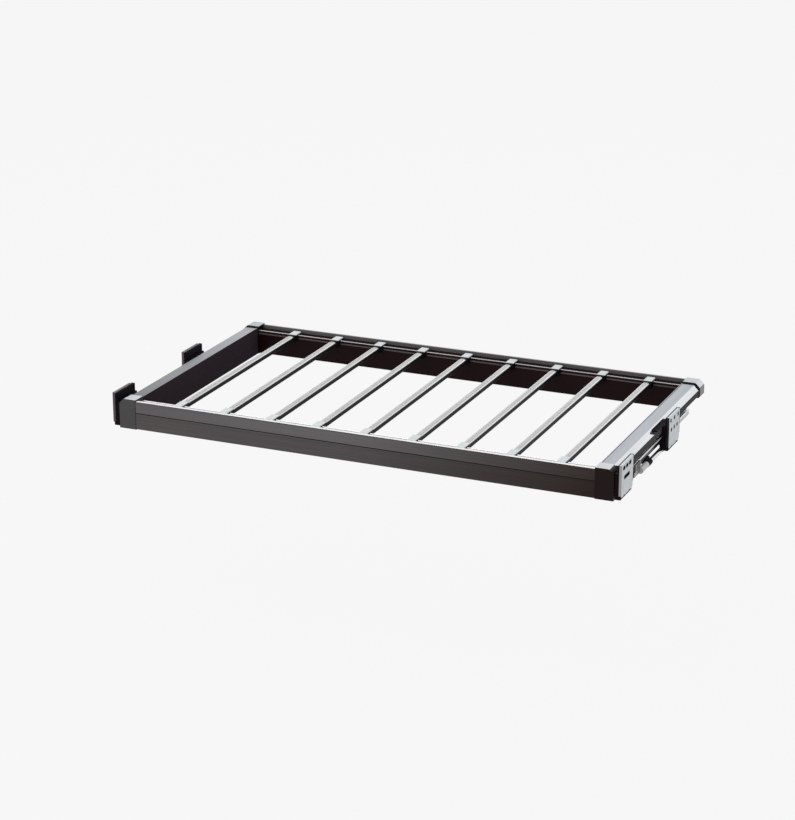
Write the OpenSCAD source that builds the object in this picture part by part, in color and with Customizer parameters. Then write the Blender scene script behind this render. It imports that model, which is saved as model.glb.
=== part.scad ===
// Pull out trouser rack: a sliding frame with nine bars that hangs between two cabinet sides.
// X runs across the cabinet, the rack opens toward -Y, and Z is up from the corner caps' underside.
// Inside the modules y starts at the front face of the frame; u starts at a side face and runs inward.

/* [Frame] */
// Width over the corner caps
frame_w = 840; // [640:1:1100]
// Depth over the corner caps
frame_d = 468; // [440:1:560]
// Height of the corner caps
frame_h = 50; // [48:0.5:58]
// Width of a corner cap and of a side rail
corner_w = 30; // [30:0.5:36]
// Depth of a corner cap and of the front and back rails
corner_d = 24; // [24:0.5:30]
// Chamfer along the outer top edge
edge_chamfer = 8; // [4:0.5:9]
// How far the caps stand above the rails
cap_proud = 2; // [0.5:0.1:3]
// How far the caps stand outside the side rails
cap_side_proud = 1; // [0.4:0.1:1.5]
// Wall of the extruded rails
rail_wall = 1.8; // [1.2:0.1:2]

/* [Front and back rails] */
// Depth of the outer lip beside the channel
lip_d = 5.4; // [4:0.1:6]
// Rounding of the lip's outer edge
lip_round = 2.2; // [1:0.1:2.5]
// Depth of the channel below the lip
channel_depth = 6.4; // [5:0.1:7]
// Width of the ridge that the clips hook over
ridge_w = 2.6; // [2:0.1:3]
// Height of the ridge above the channel floor
ridge_h = 1.9; // [1.5:0.1:2.4]
// Height of the thin groove on the outer face
face_groove_z = 28; // [22:0.5:30]

/* [Side rails] */
// Height of the box part of a side rail above its floor
side_floor_z = 26; // [25:0.5:28]
// Size of the lower outer chamfer of the box part
side_low_chamfer = 4; // [2:0.5:5]
// Thickness of the web that hangs down inside
side_web = 1.6; // [1.2:0.1:2]

/* [Bars] */
// Distance from the left side rail to the centre of the first bar
first_bar_in = 69.5; // [50:0.5:90]
// Distance from the right side rail to the centre of the last bar
last_bar_in = 58.5; // [50:0.5:90]
// Width of a bar
bar_w = 12; // [10:0.5:14]
// Height of a bar
bar_h = 8.3; // [7.5:0.1:9]
// Wall of a bar
bar_wall = 1.2; // [1:0.1:1.4]
// Width of the grip strip let into the top of a bar
strip_w = 5.6; // [4:0.1:6]
// How far the strip stands above the bar
strip_proud = 0.4; // [0.2:0.1:0.8]
// Width of a clip at its hook end
clip_w = 16.4; // [15.8:0.1:18]
// Width of a clip at its bar end
clip_neck_w = 14.4; // [14.2:0.1:15.6]
// Length that a clip reaches past its rail
clip_reach = 14; // [10:0.5:18]

/* [Slides] */
// Gap between the front cap and a closed slide
slide_front_gap = 16; // [12:0.5:20]
// Gap between a closed slide and the rear cap
slide_rear_gap = 54; // [46:1:70]
// Travel of the rack from closed to open
rack_travel = 340; // [240:5:345]
// Width of a slide
slide_w = 24; // [23:0.5:24]
// Sheet thickness of the slide members
slide_sheet = 1.3; // [1.2:0.05:1.4]
// Diameter of the slide balls
ball_d = 3; // [2.7:0.05:3.1]
// Distance between balls along a cage
ball_pitch = 18; // [12:1:30]

/* [Soft close damper] */
// Diameter of the damper cylinder
damper_d = 7.5; // [7:0.1:8]
// Diameter of the plastic housing in front of the cylinder
housing_d = 10; // [9:0.1:10]
// Length of the round part of the housing
housing_l = 30; // [20:1:36]

/* [Wall brackets] */
// Gap between the frame's side and the cabinet side
side_gap = 12; // [11.5:0.1:13]
// Thickness of the steel wall plate
plate_t = 1.5; // [1.2:0.1:2]
// Length of a wall plate along the slide
plate_l = 54.5; // [50:0.5:56]
// Length of the plastic carrier along the slide
carrier_l = 60; // [58:0.5:64]
// Distance between the two brackets of a side
bracket_span = 235; // [220:1:240]
// How far the brackets stand above the corner caps
bracket_rise = 8; // [4:0.5:12]
// Diameter of the screw holes in the rear plates
hole_d = 5.5; // [4:0.1:6]
// Hole spacing in the upper row
hole_pitch_upper = 19; // [16:0.5:19]
// Hole spacing in the lower row
hole_pitch_lower = 15; // [12:0.5:16]
// Distance between the two rows
hole_rows = 16; // [14:0.5:18]

/* [Hidden] */
// One overrun for every cut
over = 1;
// Steps in a small rounded corner of an outline
round_steps = 4;
// Facets of round bodies
round_fn = 48;
// Clearances: fixed joints, sliding joints and screws in their holes
fit = 0.2;
slide_fit = 0.3;
screw_fit = 0.05;

// Frame, derived
rail_top = frame_h - cap_proud;
rail_foot = 1;
half_w = frame_w / 2;
inner_half = half_w - corner_w;
cap_blend = 5;
rail_blend = 0.8;
gasket_t = 4.5;
gasket_proud = 0.5;

// Section of the front and back rails
channel_z = rail_top - channel_depth;
ridge_z = channel_z + ridge_h;
ridge_nose = 3;
undercut_h = 1.7;
undercut_d = 1.2;
band_h = 2.6;
band_d = 0.8;
undercut_z1 = ridge_z - ridge_nose;
undercut_z0 = undercut_z1 - undercut_h;
band_z0 = undercut_z0 - band_h;
face_groove_h = 1.2;
face_groove_d = 0.6;
cavity_y1 = corner_d - band_d - rail_wall;

// Section of the side rails
bead_w = 1.2;
bead_h = 0.6;
web_foot_w = 3;
web_foot_h = 2.4;
side_out_low = side_floor_z + side_low_chamfer;

// Corner caps
cap_wall = 2.4;
rear_cap_low = side_floor_z + cap_side_proud;
spigot_l = 22;
spigot_in = edge_chamfer + 2 * cap_side_proud;

// Screws of the rack, all alike
screw_d = 3;
screw_head_d = 5.2;
screw_head_h = 1.1;
screw_l = 9;
screw_recess_d = 1.6;
screw_recess_depth = 0.6;
corner_screw_in = 11;
side_screw_in = 10;
corner_screw_y = corner_d + side_screw_in;
corner_screw_u = (spigot_in + corner_w) / 2;
slide_screw_shares = [0.08, 0.5, 0.92];

// Bars
bar_count = 9;
bar_drop = 3.7;
bar_top = rail_top - bar_drop;
bar_z0 = bar_top - bar_h;
bar_round = 2.4;
bar_foot_round = 0.8;
strip_depth = 1.5;
strip_undercut = 0.5;
strip_lip = 0.7;
strip_ribs = 3;
strip_rib_h = 0.35;
bar_end_gap = 3.3;
bar_end_y = corner_d + bar_end_gap;
bar_first_x = -inner_half + first_bar_in;
bar_last_x = inner_half - last_bar_in;
bar_step = (bar_last_x - bar_first_x) / (bar_count - 1);

// Clips
clip_back_gap = 4.6;
clip_y0 = lip_d + clip_back_gap;
clip_y1 = corner_d + clip_reach;
clip_crown = 1.9;
clip_slope = 0.6;
clip_nose = 0.9;
clip_chin = 1.7;
clip_top = bar_top + clip_crown;
clip_foot = bar_z0 - clip_chin;
clip_round = 3.2;
clip_stop = bar_end_y - slide_fit;
clip_mouth = 1.2;
clip_mouth_gap = 0.5;
clip_nub = 0.9;

// Slides: half widths of the three nested members, and their heights under the side rail's floor
web_gap = 1.1;
cage_web = 0.5;
cage_side = 0.7;
slide_gap = 2.2;
groove_gap = 0.15;
groove_r = ball_d / 2 + groove_gap;
slide_web_gap = 2.4;
slide_x = inner_half + side_web + slide_web_gap + slide_w / 2;
slide_y0 = corner_d + slide_front_gap;
slide_y1 = frame_d - corner_d - slide_rear_gap;
slide_l = slide_y1 - slide_y0;
slide_h = 12;
slide_z0 = side_floor_z - slide_h;
outer_half = slide_w / 2;
mid_half = outer_half - slide_sheet - slide_gap;
inner_half_w = mid_half - slide_sheet - slide_gap;
outer_flange_h = 8.1;
mid_flange_drop = 2;
mid_z0 = slide_z0 + slide_sheet + web_gap;
mid_flange_top = side_floor_z - mid_flange_drop;
inner_z0 = mid_z0 + slide_sheet + web_gap;
ball_row_rise = 4.8;
ball_row_step = 3;
outer_ball_z = slide_z0 + ball_row_rise;
inner_ball_z = outer_ball_z + ball_row_step;
curl_r = 0.75;
stop_w = 6;
cage_margin = 5;
cage_rim = 0.5;

// Brackets
plate_x = half_w + side_gap;
carrier_gap = 1.5;
carrier_x0 = half_w + carrier_gap;
carrier_x1 = plate_x - plate_t;
carrier_y0 = 1.5;
carrier_z0 = 2.6;
carrier_heel = 6.5;
carrier_heel_z = 16;
carrier_thin = 3.5;
carrier_thin_z = 44;
carrier_rim = 2;
carrier_recess = 0.8;
bracket_top = frame_h + bracket_rise;
plate_z0 = 6.5;
plate_flange = 2.5;
plate_flange_t = 1.2;
carrier_top = bracket_top - plate_flange_t - fit;
plate_corner = 3;
plate_notch_w = 5;
plate_notch_h = 2.5;
plate_notch_in = 13;
arm_t = 3;
arm_z1 = slide_z0;
arm_z0 = arm_z1 - arm_t;
arm_inset = 3;
rear_carrier_y = carrier_y0 + bracket_span;
hole_row_drop = 6.8;
hole_row_z = bracket_top - hole_row_drop;
head_pocket_d = 9;
head_pocket_depth = 3.5;
slot_l = 10;
slot_h = 5;
slot_pitch = 14;
slot_shift = 2;
long_slot_l = 26;
rivet_d = 3.2;
rivet_head_d = 5.6;
rivet_head_h = 0.6;
rivet_in = 8;
rivet_z = 21;
carrier_pocket = 3;
carrier_rib = 2;

// Damper, carried under the fixed slide member and in the foot of the rear carrier
damper_out = 0.5;
damper_z = 5.4;
damper_x = half_w + damper_out;
damper_wall = 0.8;
damper_l = 78;
damper_y1 = rear_carrier_y;
damper_y0 = damper_y1 - damper_l;
tail_d = 4;
tail_l = 4;
foot_x0 = damper_x - damper_d / 2;
foot_l = 20;
foot_z0 = 0.4;
cradle_t = 2;
cradle_l = 58;
cradle_ring_l = 16;
cradle_ring_w = 1.6;
rod_d = 3;
rod_in = 12;
latch_l = 30;
latch_w = 8;
latch_h = 7.8;
latch_slot_w = 3;
latch_slot_l = 12;
latch_lift = 3.2;
latch_ribs = 4;
latch_rib_depth = 0.8;
cheek_t = 2.5;
cheek_l = 25;
cheek_h = 19;

// Cages, placed so that they stay inside their two members over the whole travel
cage_y0 = slide_y0 + rack_travel / 4 + cage_margin;
cage_y1 = slide_y1 - rack_travel / 4 - cage_margin;

// Helpers

// Points of an arc around [cx, cy] from angle a0 to a1
function arc(cx, cy, r, a0, a1, n = round_steps) =
  [for (i = [0:n]) let (a = a0 + (a1 - a0) * i / n) [cx + r * cos(a), cy + r * sin(a)]];

// Upper outer corner with a chamfer c whose two ends are blended with radius r
function chamfer_corner(side, top, c, r) =
  let (t = r * tan(22.5))
  concat(
    arc(side + r, top - c - t, r, 180, 135),
    arc(side + c + t, top - r, r, 135, 90)
  );

// Extrudes an outline of [y, z] points along X
module along_x(x0, x1) {
  translate([x0, 0, 0]) rotate([90, 0, 90]) linear_extrude(x1 - x0) children();
}

// Extrudes an outline of [x, z] points along Y
module along_y(y0, y1) {
  translate([0, y1, 0]) rotate([90, 0, 0]) linear_extrude(y1 - y0) children();
}

// Box between two corners
module block(p, q) {
  translate(p) cube(q - p);
}

// Round bar or bore along Y
module rod_y(d, x, z, y0, y1) {
  translate([x, y0, z]) rotate([-90, 0, 0]) cylinder(h = y1 - y0, d = d, $fn = round_fn);
}

// Round bar or bore along X
module rod_x(d, y, z, x0, x1) {
  translate([x0, y, z]) rotate([0, 90, 0]) cylinder(h = x1 - x0, d = d, $fn = round_fn);
}

// Slot along Y with round ends, cut along X
module slot_x(l, h, y, z, x0, x1) {
  for (s = [-1, 1]) rod_x(h, y + s * (l - h) / 2, z, x0, x1);
  block([x0, y - (l - h) / 2, z - h / 2], [x1, y + (l - h) / 2, z + h / 2]);
}

// Moves the model's front-face origin to the middle of its depth
module seat() {
  translate([0, -frame_d / 2, 0]) children();
}

// Turns [u, z] outlines, with u inward from the right side face, into [x, z]
module from_side() {
  translate([half_w, 0]) mirror([1, 0]) children();
}

// Copies to the left or right side; the right side is the one that is drawn
module on_side(side) {
  if (side < 0) mirror([1, 0, 0]) children();
  else children();
}

// Copies to the front or back; the front is the one that is drawn
module at_end(back) {
  if (back) translate([0, frame_d, 0]) mirror([0, 1, 0]) children();
  else children();
}

// Front and back rails

// Outline of the rail: outer face with its groove, rounded lip, channel, hook ridge and inner band
function rail_outline() = concat(
  [
    [0, rail_foot],
    [0, face_groove_z - face_groove_h / 2],
    [face_groove_d, face_groove_z],
    [0, face_groove_z + face_groove_h / 2]
  ],
  arc(lip_round, rail_top - lip_round, lip_round, 180, 90),
  [
    [lip_d, rail_top],
    [lip_d, channel_z],
    [corner_d - ridge_w, channel_z]
  ],
  arc(corner_d - ridge_w / 2, ridge_z - ridge_w / 2, ridge_w / 2, 180, 0, 2 * round_steps),
  [
    [corner_d, undercut_z1],
    [corner_d - undercut_d, undercut_z1],
    [corner_d - undercut_d, undercut_z0],
    [corner_d, undercut_z0],
    [corner_d, band_z0],
    [corner_d - band_d, band_z0],
    [corner_d - band_d, rail_foot]
  ]
);

// The two hollow chambers of the rail as [z0, z1], below and above the middle wall
lower_chamber = [rail_foot + rail_wall, face_groove_z - rail_wall / 2];
upper_chamber = [face_groove_z + rail_wall / 2, channel_z - rail_wall];

module rail_section() {
  difference() {
    polygon(rail_outline());
    for (c = [lower_chamber, upper_chamber])
      translate([rail_wall, c[0]]) square([cavity_y1 - rail_wall, c[1] - c[0]]);
  }
}

module cross_rail(back) {
  seat() at_end(back) difference() {
    along_x(-inner_half, inner_half) rail_section();
    for (s = [-1, 1])
      screw_hole(s * (inner_half - corner_screw_in), corner_d / 2, rail_foot);
  }
}

// Side rails

// Outline in [u, z]: box with chamfered corners and a web that hangs down on the inner side
function hook_outline(side, top, chamfer, blend, low, floor_z, web, foot) = concat(
  chamfer_corner(side, top, chamfer, blend),
  [
    [corner_w, top],
    [corner_w, foot],
    [corner_w - web, foot],
    [corner_w - web, floor_z],
    [side + low - floor_z, floor_z],
    [side, low]
  ]
);

// The same outline with the rail's bead along the top and its thicker foot
function side_outline() = concat(
  chamfer_corner(cap_side_proud, rail_top, edge_chamfer, rail_blend),
  [
    [corner_w - bead_w, rail_top],
    [corner_w - bead_w, rail_top + bead_h],
    [corner_w, rail_top + bead_h],
    [corner_w, rail_foot],
    [corner_w - web_foot_w, rail_foot],
    [corner_w - web_foot_w, rail_foot + web_foot_h],
    [corner_w - side_web, rail_foot + web_foot_h],
    [corner_w - side_web, side_floor_z],
    [cap_side_proud + side_low_chamfer, side_floor_z],
    [cap_side_proud, side_out_low]
  ]
);

module side_section() {
  chamber_in = cap_side_proud + rail_wall;
  slant = rail_wall * tan(22.5);
  difference() {
    polygon(side_outline());
    polygon([
      [chamber_in, side_out_low + slant],
      [chamber_in, rail_top - edge_chamfer - slant],
      [cap_side_proud + edge_chamfer + slant, rail_top - rail_wall],
      [corner_w - rail_wall, rail_top - rail_wall],
      [corner_w - rail_wall, side_floor_z + rail_wall],
      [cap_side_proud + side_low_chamfer + slant, side_floor_z + rail_wall]
    ]);
  }
}

module side_rail(side) {
  seat() on_side(side) difference() {
    along_y(corner_d, frame_d - corner_d - gasket_t) from_side() side_section();
    for (y = [corner_screw_y, frame_d - corner_screw_y])
      screw_hole(half_w - corner_screw_u, y, side_floor_z);
    for (y = slide_screw_rows())
      translate([slide_x, y, side_floor_z - over])
        cylinder(h = rail_wall + 2 * over, d = screw_d + 2 * screw_fit, $fn = round_fn);
  }
}

// Corner caps

// Plugs that enter the box of the side rail and the two chambers of the cross rail
module cap_plugs(y_face) {
  plug_top = rail_top - rail_wall - fit;
  block([half_w - corner_w + rail_wall + fit, y_face - over, side_floor_z + rail_wall + fit],
        [half_w - spigot_in, y_face + spigot_l, plug_top]);
  for (c = [lower_chamber, upper_chamber])
    block([inner_half - spigot_l, rail_wall + fit, c[0] + fit],
          [inner_half + over, cavity_y1 - fit, c[1] - fit]);
}

module cap_screw_holes() {
  screw_bore(half_w - corner_screw_u, corner_screw_y, side_floor_z);
  screw_bore(inner_half - corner_screw_in, corner_d / 2, rail_foot);
}

module front_cap(side) {
  seat() on_side(side) difference() {
    union() {
      along_y(0, corner_d) from_side() polygon(concat(
        chamfer_corner(0, frame_h, edge_chamfer, cap_blend),
        [[corner_w, frame_h], [corner_w, 0], [0, 0]]
      ));
      cap_plugs(corner_d);
    }
    block([inner_half + cap_wall, cap_wall, -over],
          [half_w - cap_wall, corner_d + over, side_floor_z - cap_wall]);
    cap_screw_holes();
  }
}

module rear_cap(side) {
  seat() on_side(side) at_end(true) difference() {
    union() {
      along_y(0, corner_d) from_side() polygon(
        hook_outline(0, frame_h, edge_chamfer, cap_blend,
                     rear_cap_low, side_floor_z, side_web, 0)
      );
      cap_plugs(corner_d);
    }
    cap_screw_holes();
  }
}

// Black gaskets between the rear caps and the side rails
module rear_gaskets() {
  seat() for (side = [-1, 1]) on_side(side) at_end(true) difference() {
    along_y(corner_d, corner_d + gasket_t) from_side() polygon(
      hook_outline(gasket_proud, frame_h - cap_proud + gasket_proud + bead_h, edge_chamfer, rail_blend,
                   rear_cap_low, side_floor_z, side_web, rail_foot)
    );
    block([half_w - corner_w + rail_wall, 0, side_floor_z + rail_wall],
          [half_w - spigot_in + fit, frame_d / 2, rail_top - rail_wall]);
  }
}

// Screws, all with a countersunk head that points down

function slide_screw_rows() = [for (s = slide_screw_shares) slide_y0 + slide_l * s];

// Cone and shank of one screw; z is the surface that the head is flush with
module screw_body(x, y, z, gap) {
  translate([x, y, z]) {
    cylinder(h = screw_head_h, d1 = screw_head_d + 2 * gap, d2 = screw_d + 2 * gap, $fn = round_fn);
    cylinder(h = screw_l + gap, d = screw_d + 2 * gap, $fn = round_fn);
  }
}

module screw_hole(x, y, z) {
  screw_body(x, y, z, screw_fit);
  translate([x, y, z - over])
    cylinder(h = over, d = screw_head_d + 2 * screw_fit, $fn = round_fn);
}

// Pilot bore in a part that only takes the shank
module screw_bore(x, y, z) {
  translate([x, y, z]) cylinder(h = screw_l + screw_fit, d = screw_d + 2 * screw_fit, $fn = round_fn);
}

module screw(x, y, z) {
  difference() {
    screw_body(x, y, z, 0);
    for (a = [0, 90])
      translate([x, y, z]) rotate([0, 0, a])
        cube([screw_recess_d, screw_recess_d / 3, 2 * screw_recess_depth], center = true);
  }
}

module rack_screws() {
  color("dimgray") seat() for (side = [-1, 1]) on_side(side) {
    for (back = [false, true]) at_end(back) {
      screw(half_w - corner_screw_u, corner_screw_y, side_floor_z);
      screw(inner_half - corner_screw_in, corner_d / 2, rail_foot);
    }
    for (y = slide_screw_rows()) screw(slide_x, y, side_floor_z - slide_sheet);
  }
}

// Bars

function bar_x(k) = bar_first_x + (k - 1) * bar_step;

// Outline of a bar in [x, z] around x = 0, with rounded shoulders
function bar_outline(gap) =
  let (w = bar_w / 2 + gap, z0 = bar_z0 - gap, z1 = bar_top + gap)
  concat(
    arc(-w + bar_foot_round, z0 + bar_foot_round, bar_foot_round, 270, 180),
    arc(-w + bar_round, z1 - bar_round, bar_round, 180, 90),
    arc(w - bar_round, z1 - bar_round, bar_round, 90, 0),
    arc(w - bar_foot_round, z0 + bar_foot_round, bar_foot_round, 0, -90)
  );

// Dovetailed foot of the grip strip on its left half, widened by gap for the groove that holds it
function strip_foot(gap) =
  let (half = strip_w / 2 + gap)
  [
    [-half - strip_undercut, bar_top - strip_depth - gap],
    [-half - strip_undercut, bar_top - strip_lip + gap],
    [-half, bar_top - strip_lip + gap]
  ];

// The same points on the right half, in turned order
function turned(points) = [for (i = [len(points) - 1:-1:0]) [-points[i][0], points[i][1]]];

function strip_groove() = concat(
  strip_foot(screw_fit),
  [[-strip_w / 2 - screw_fit, bar_top + strip_proud], [strip_w / 2 + screw_fit, bar_top + strip_proud]],
  turned(strip_foot(screw_fit))
);

// Ribbed top of the strip from left to right
function strip_ribbing() =
  let (
    half = strip_w / 2 - screw_fit,
    rib = 2 * half / (2 * strip_ribs - 1),
    z1 = bar_top + strip_proud,
    z0 = z1 - strip_rib_h
  )
  [for (i = [0:strip_ribs - 1], p = [[0, z0], [0, z1], [rib, z1], [rib, z0]])
    [-half + 2 * i * rib + p[0], p[1]]];

function strip_outline() = concat(strip_foot(-screw_fit), strip_ribbing(), turned(strip_foot(-screw_fit)));

module bar(k) {
  trough = bar_top - strip_depth - bar_wall;
  color([0.16, 0.15, 0.16]) seat() translate([bar_x(k), 0, 0])
    along_y(bar_end_y, frame_d - bar_end_y) difference() {
      polygon(bar_outline(0));
      polygon(strip_groove());
      translate([-bar_w / 2 + bar_wall, bar_z0 + bar_wall])
        square([bar_w - 2 * bar_wall, trough - bar_z0 - bar_wall]);
    }
}

module grip_strip(k) {
  color([0.78, 0.78, 0.77]) seat() translate([bar_x(k), 0, 0])
    along_y(bar_end_y, frame_d - bar_end_y) polygon(strip_outline());
}

// Clips

// Side view of a clip in [y, z]: hook in the channel, step over the ridge, socket for the bar
function clip_side() = [
  [clip_y0, channel_z + slide_fit],
  [clip_y0, clip_top - clip_nose],
  [clip_y0 + clip_nose, clip_top],
  [clip_y1, clip_top - clip_slope],
  [clip_y1, clip_foot],
  [corner_d + slide_fit, clip_foot],
  [corner_d + slide_fit, undercut_z0 + slide_fit],
  [corner_d - clip_nub, undercut_z0 + slide_fit],
  [corner_d - clip_nub, undercut_z1 - slide_fit],
  [corner_d + slide_fit, undercut_z1 - slide_fit],
  [corner_d + slide_fit, ridge_z + slide_fit],
  [corner_d - ridge_w - slide_fit, ridge_z + slide_fit],
  [corner_d - ridge_w - slide_fit, channel_z + slide_fit]
];

// Front view of a clip in [x, z] with an arched top
function clip_front() = concat(
  [[-clip_w / 2, clip_foot]],
  arc(-clip_w / 2 + clip_round, clip_top - clip_round, clip_round, 180, 90),
  arc(clip_w / 2 - clip_round, clip_top - clip_round, clip_round, 90, 0),
  [[clip_w / 2, clip_foot]]
);

module clip() {
  neck_y = corner_d + slide_fit;
  difference() {
    intersection() {
      along_x(-clip_w / 2, clip_w / 2) polygon(clip_side());
      along_y(clip_y0, clip_y1) polygon(clip_front());
      translate([0, 0, clip_foot]) linear_extrude(clip_top - clip_foot) polygon([
        [-clip_w / 2, clip_y0],
        [-clip_w / 2, neck_y],
        [-clip_neck_w / 2, clip_y1],
        [clip_neck_w / 2, clip_y1],
        [clip_w / 2, neck_y],
        [clip_w / 2, clip_y0]
      ]);
    }
    along_y(clip_stop, clip_y1 + over) polygon(bar_outline(screw_fit));
    along_y(clip_stop, clip_y1 + over)
      translate([-strip_w / 2 - fit, bar_top - over]) square([strip_w + 2 * fit, strip_proud + over + fit]);
    along_y(clip_y1 - clip_mouth, clip_y1 + over) polygon(bar_outline(clip_mouth_gap));
  }
}

module bar_clips(k) {
  color([0.76, 0.79, 0.8]) seat() for (back = [false, true])
    at_end(back) translate([bar_x(k), 0, 0]) clip();
}

// Slides: three nested channels with two ball rows on each side

// Channel member that opens upward, with a ball groove in each flange
module channel_member(half, z0, z1, grooves) {
  difference() {
    union() {
      translate([-half, z0]) square([2 * half, slide_sheet]);
      for (s = [-1, 1])
        translate([s * (half - slide_sheet / 2) - slide_sheet / 2, z0]) square([slide_sheet, z1 - z0]);
    }
    for (g = grooves, s = [-1, 1])
      translate([s * g[0], g[1]]) circle(r = groove_r, $fn = round_fn);
  }
}

outer_row_x = outer_half - slide_sheet - slide_gap / 2;
inner_row_x = mid_half - slide_sheet - slide_gap / 2;

// Fixed member: carried by the arms of the two brackets, with rolled upper edges
module slide_outer(side) {
  color([0.72, 0.73, 0.75]) seat() on_side(side) difference() {
    union() {
      along_y(slide_y0, slide_y1) translate([slide_x, 0]) {
        channel_member(outer_half, slide_z0, slide_z0 + outer_flange_h, [[outer_row_x, outer_ball_z]]);
        for (s = [-1, 1])
          translate([s * (outer_half - curl_r), slide_z0 + outer_flange_h]) circle(r = curl_r, $fn = round_fn);
      }
      block([slide_x - stop_w / 2, slide_y1 - slide_sheet, slide_z0],
            [slide_x + stop_w / 2, slide_y1, slide_z0 + slide_sheet + web_gap / 2]);
    }
    for (rear = [false, true])
      translate([slide_x, arm_rivet_y(rear), slide_z0 - over])
        cylinder(h = slide_sheet + 2 * over, d = rivet_d + 2 * screw_fit, $fn = round_fn);
  }
}

// Middle member: runs at half the speed of the rack
module slide_middle(side) {
  color([0.62, 0.63, 0.66]) seat() on_side(side)
    along_y(slide_y0, slide_y1) translate([slide_x, 0])
      channel_member(mid_half, mid_z0, mid_flange_top,
                     [[outer_row_x, outer_ball_z], [inner_row_x, inner_ball_z]]);
}

// Inner member: turned over and screwed up against the side rail
module slide_inner(side) {
  color([0.72, 0.73, 0.75]) seat() on_side(side) difference() {
    along_y(slide_y0, slide_y1) translate([slide_x, 0]) difference() {
      union() {
        translate([-inner_half_w, side_floor_z - slide_sheet]) square([2 * inner_half_w, slide_sheet]);
        for (s = [-1, 1])
          translate([s * (inner_half_w - slide_sheet / 2) - slide_sheet / 2, inner_z0])
            square([slide_sheet, side_floor_z - inner_z0]);
      }
      for (s = [-1, 1]) translate([s * inner_row_x, inner_ball_z]) circle(r = groove_r, $fn = round_fn);
    }
    for (y = slide_screw_rows()) screw_hole(slide_x, y, side_floor_z - slide_sheet);
  }
}

// Cage strip folded around the member below it, with its balls held in round windows
module ball_cage(row_x, web_z, ball_z, side) {
  rows = floor((cage_y1 - cage_y0 - ball_pitch / 2) / ball_pitch);
  spare = (cage_y1 - cage_y0 - (rows - 1) * ball_pitch) / 2;
  window = ball_d / 2 + fit / 2;
  color([0.3, 0.31, 0.33]) seat() on_side(side) translate([slide_x, 0, 0]) {
    difference() {
      along_y(cage_y0, cage_y1) {
        translate([-row_x - cage_side / 2, web_z]) square([2 * row_x + cage_side, cage_web]);
        for (s = [-1, 1])
          translate([s * row_x - cage_side / 2, web_z]) square([cage_side, ball_z + window + cage_rim - web_z]);
      }
      for (i = [0:rows - 1], s = [-1, 1])
        rod_x(2 * window, cage_y0 + spare + i * ball_pitch, ball_z,
              s * row_x - cage_side / 2 - over, s * row_x + cage_side / 2 + over);
    }
    for (i = [0:rows - 1], s = [-1, 1])
      translate([s * row_x, cage_y0 + spare + i * ball_pitch, ball_z]) sphere(d = ball_d, $fn = 24);
  }
}

module cage_outer(side) {
  ball_cage(outer_row_x, mid_z0 - (web_gap + cage_web) / 2, outer_ball_z, side);
}

module cage_inner(side) {
  ball_cage(inner_row_x, inner_z0 - (web_gap + cage_web) / 2, inner_ball_z, side);
}

// Wall brackets: a steel plate for the cabinet side and a plastic carrier for the slide

function carrier_start(rear) = rear ? rear_carrier_y : carrier_y0;

function plate_start(rear) = carrier_start(rear) - plate_flange_t;

function bracket_mid(rear) = plate_start(rear) + plate_l / 2;

// Screw holes of a plate, or the pockets for the screw heads behind them when grow is above zero
module plate_openings(rear, grow, x0, x1) {
  y = bracket_mid(rear);
  if (rear) {
    for (i = [-1, 0, 1]) {
      rod_x(hole_d + grow, y + i * hole_pitch_upper, hole_row_z, x0, x1);
      rod_x(hole_d + grow, y + i * hole_pitch_lower, hole_row_z - hole_rows, x0, x1);
    }
  } else {
    for (i = [-1, 0, 1])
      slot_x(slot_l + grow / 2, slot_h + grow, y - slot_shift + i * slot_pitch, hole_row_z, x0, x1);
    slot_x(long_slot_l + grow, slot_h + grow, y - slot_shift, hole_row_z - hole_rows, x0, x1);
  }
}

function plate_rivet_rows(rear) = [plate_start(rear) + rivet_in, plate_start(rear) + plate_l - rivet_in];

function arm_start(rear) = rear ? rear_carrier_y : slide_y0;

function arm_end(rear) = carrier_start(rear) + carrier_l - carrier_heel;

function arm_rivet_y(rear) = (arm_start(rear) + arm_end(rear) + (rear ? foot_l : 0)) / 2;

// Pressed plate with folded flanges along its front and top edges
module wall_plate(side, rear) {
  y0 = plate_start(rear);
  y1 = y0 + plate_l;
  c = plate_corner;
  color([0.78, 0.79, 0.81]) seat() on_side(side) difference() {
    union() {
      along_x(plate_x - plate_t, plate_x) polygon([
        [y0, plate_z0 + c],
        [y0, bracket_top],
        [y1, bracket_top],
        [y1, plate_z0 + c],
        [y1 - c, plate_z0],
        [y0 + c, plate_z0]
      ]);
      block([plate_x - plate_t - plate_flange, y0, plate_z0 + c],
            [plate_x, y0 + plate_flange_t, bracket_top]);
      block([plate_x - plate_t - plate_flange, y0, bracket_top - plate_flange_t],
            [plate_x, y1, bracket_top]);
    }
    plate_openings(rear, 0, plate_x - plate_t - over, plate_x + over);
    for (s = [-1, 1])
      along_x(plate_x - plate_t - over, plate_x + over)
        translate([bracket_mid(rear) + s * plate_notch_in, plate_z0]) polygon([
          [-plate_notch_w / 2, -over],
          [plate_notch_w / 2, -over],
          [plate_notch_w / 2, 0],
          [0, plate_notch_h],
          [-plate_notch_w / 2, 0]
        ]);
    for (y = plate_rivet_rows(rear))
      rod_x(rivet_d + 2 * screw_fit, y, rivet_z, plate_x - plate_t - over, plate_x + over);
  }
}

// Side view of a carrier in [y, z], with its lower rear corner cut back to the plate's end
function carrier_outline(y0, y1) = [
  [y0, carrier_z0],
  [y0, carrier_top],
  [y1, carrier_top],
  [y1, carrier_heel_z],
  [y1 - carrier_heel, carrier_heel_z - carrier_heel],
  [y1 - carrier_heel, carrier_z0]
];

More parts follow.
